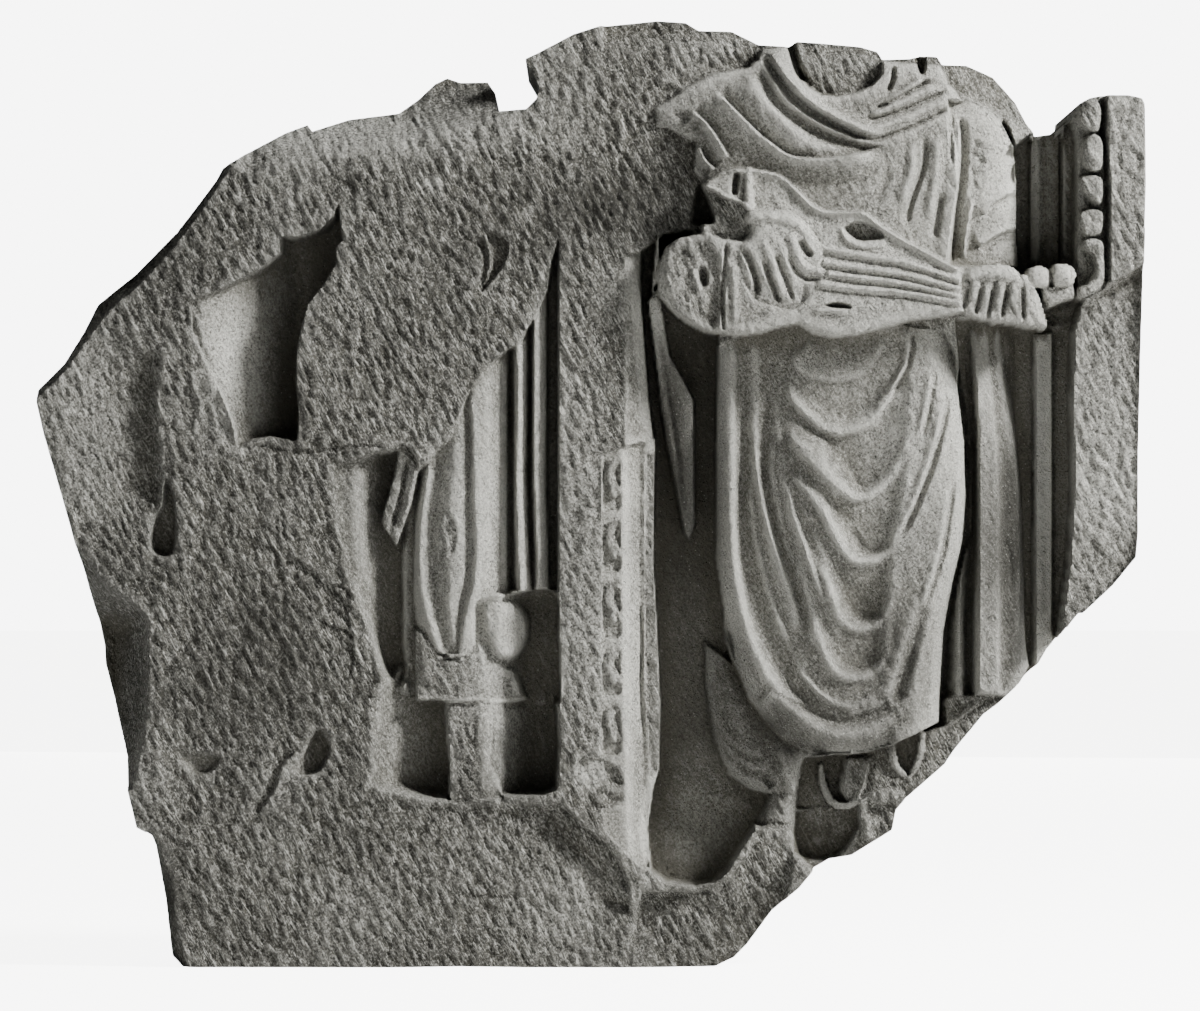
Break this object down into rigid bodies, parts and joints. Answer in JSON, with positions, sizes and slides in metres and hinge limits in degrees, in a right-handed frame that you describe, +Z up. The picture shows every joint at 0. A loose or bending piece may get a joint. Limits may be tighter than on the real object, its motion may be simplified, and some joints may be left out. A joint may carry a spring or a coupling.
{
  "type": "frieze fragment",
  "caption": "Broken schist relief slab with a headless draped musician holding a stringed instrument, beside a pilaster.",
  "frame": {"origin": "on the flat underside, at the middle of the width and of the overall depth", "axes": "+Z up, carved face towards -Y, flat back towards +Y, +X to the viewer's right"},
  "size_m": [0.4436, 0.0798, 0.3792],
  "materials": {
    "schist": "matt grey schist, rough where broken and smoother where carved"
  },
  "bodies": {
    "root": {"frieze_fragment": "schist"}
  },
  "joints": []
}
